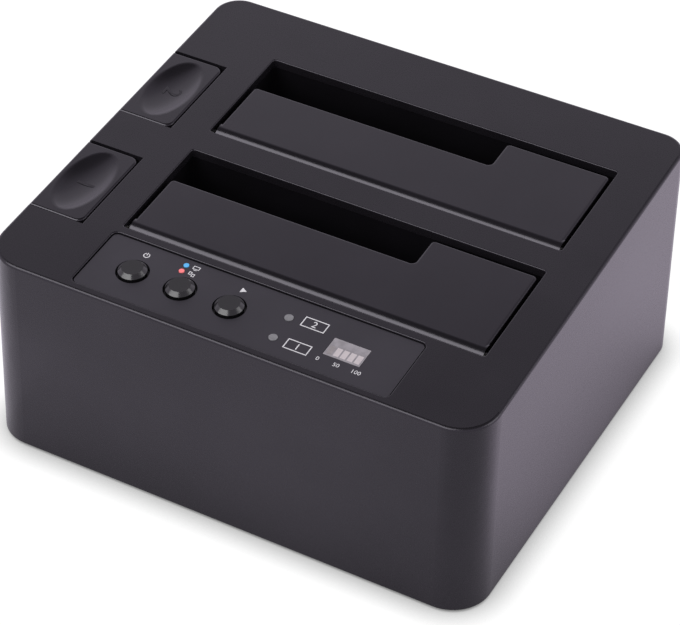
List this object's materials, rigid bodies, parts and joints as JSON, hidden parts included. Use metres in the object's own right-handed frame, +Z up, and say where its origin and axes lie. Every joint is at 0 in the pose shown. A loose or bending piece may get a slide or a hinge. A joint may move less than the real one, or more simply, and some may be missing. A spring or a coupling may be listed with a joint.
{
  "type": "drive duplicator",
  "caption": "Free-standing two-bay drive dock and duplicator with notched sprung flaps, side eject buttons and a front control panel",
  "frame": {"origin": "under the middle of the case, on the surface it stands on", "axes": "+X to the right-hand side, seen from the user; +Y to the rear, where the sockets are; +Z up"},
  "size_m": [0.1464, 0.1294, 0.0699],
  "materials": {
    "plastic": "fine satin black moulding",
    "panel": "satin near-black plate",
    "key": "black, glossy edge",
    "rubber": "soft black rubber",
    "steel": "zinc-plated steel",
    "board": "green circuit board",
    "connector": "black connector moulding",
    "port_metal": "plated shell",
    "switch": "small switches",
    "blue_lens": "blue lens",
    "red_lens": "red lens",
    "clear_lens": "grey milky lens",
    "smoked": "smoked window",
    "bar": "milky light bars",
    "led": "light sources",
    "cable": "flat grey cable",
    "chip": "chip body",
    "can": "capacitor cans"
  },
  "bodies": {
    "case": {"base_screws": "steel", "bay_frame": "plastic", "bay_screws": "steel", "blue_mode_lens": "blue_lens", "board_header": "connector", "board_leds": "led", "bottom_plate": "plastic", "capacitors": "can", "control_panel": "panel", "controller_chips": "chip", "dc_jack": "connector", "drive_led_lenses": "clear_lens", "esata_socket": "port_metal", "front_eject_spring": "steel", "front_ejector_pin": "steel", "front_hinge_pin": "steel", "front_sata_socket": "connector", "main_board": "board", "panel_board": "board", "panel_header": "connector", "panel_screws": "steel", "progress_bars": "bar", "progress_window": "smoked", "rear_eject_spring": "steel", "rear_ejector_pin": "steel", "rear_hinge_pin": "steel", "rear_sata_socket": "connector", "red_mode_lens": "red_lens", "ribbon_cable": "cable", "rubber_feet": "rubber", "tact_switches": "switch", "top_cover": "plastic", "usb_socket": "port_metal"},
    "front_flap": {"front_flap": "plastic", "front_flap_spring": "steel"},
    "rear_flap": {"rear_flap": "plastic", "rear_flap_spring": "steel"},
    "power_key": {"power_button": "key"},
    "mode_key": {"mode_button": "key"},
    "start_key": {"start_button": "key"},
    "front_eject": {"front_eject_button": "plastic", "front_eject_clip": "steel"},
    "rear_eject": {"rear_eject_button": "plastic", "rear_eject_clip": "steel"},
    "front_lift": {"front_ejector": "plastic"},
    "rear_lift": {"rear_ejector": "plastic"}
  },
  "joints": [
    {"name": "rear_flap_hinge", "type": "hinge", "parent": "case", "child": "rear_flap", "pos_m": [0.00735, 0.011, 0.06298], "axis": [-1, 0, 0], "range_deg": [0, 85], "stiffness_Nm_per_rad": 0.008, "springref_deg": -28.65, "deforming": ["rear_flap_spring"]},
    {"name": "front_flap_hinge", "type": "hinge", "parent": "case", "child": "front_flap", "pos_m": [0.00735, -0.0335, 0.0602], "axis": [-1, 0, 0], "range_deg": [0, 85], "stiffness_Nm_per_rad": 0.008, "springref_deg": -28.65, "deforming": ["front_flap_spring"]},
    {"name": "power_press", "type": "slide", "parent": "case", "child": "power_key", "axis": [0, 0.0624, -0.998], "range_m": [0, 0.0005], "stiffness_N_per_m": 900, "springref_m": -0.0009},
    {"name": "mode_press", "type": "slide", "parent": "case", "child": "mode_key", "axis": [0, 0.0624, -0.998], "range_m": [0, 0.0005], "stiffness_N_per_m": 900, "springref_m": -0.0009},
    {"name": "start_press", "type": "slide", "parent": "case", "child": "start_key", "axis": [0, 0.0624, -0.998], "range_m": [0, 0.0005], "stiffness_N_per_m": 900, "springref_m": -0.0009},
    {"name": "rear_eject_press", "type": "slide", "parent": "case", "child": "rear_eject", "axis": [0, 0, -1], "range_m": [0, 0.005], "stiffness_N_per_m": 350, "springref_m": -0.004, "deforming": ["rear_eject_spring"]},
    {"name": "front_eject_press", "type": "slide", "parent": "case", "child": "front_eject", "axis": [0, 0, -1], "range_m": [0, 0.005], "stiffness_N_per_m": 350, "springref_m": -0.004, "deforming": ["front_eject_spring"]},
    {"name": "rear_lift_turn", "type": "hinge", "parent": "case", "child": "rear_lift", "pos_m": [-0.052, 0.0184, 0.0147], "axis": [0, -1, 0], "range_deg": [0, 23.8]},
    {"name": "front_lift_turn", "type": "hinge", "parent": "case", "child": "front_lift", "pos_m": [-0.052, -0.0262, 0.0147], "axis": [0, -1, 0], "range_deg": [0, 23.8]}
  ],
  "couplings": [
    {"joint": "rear_lift_turn", "follows": "rear_eject_press", "rad_per_m": 82.897},
    {"joint": "front_lift_turn", "follows": "front_eject_press", "rad_per_m": 82.897}
  ]
}
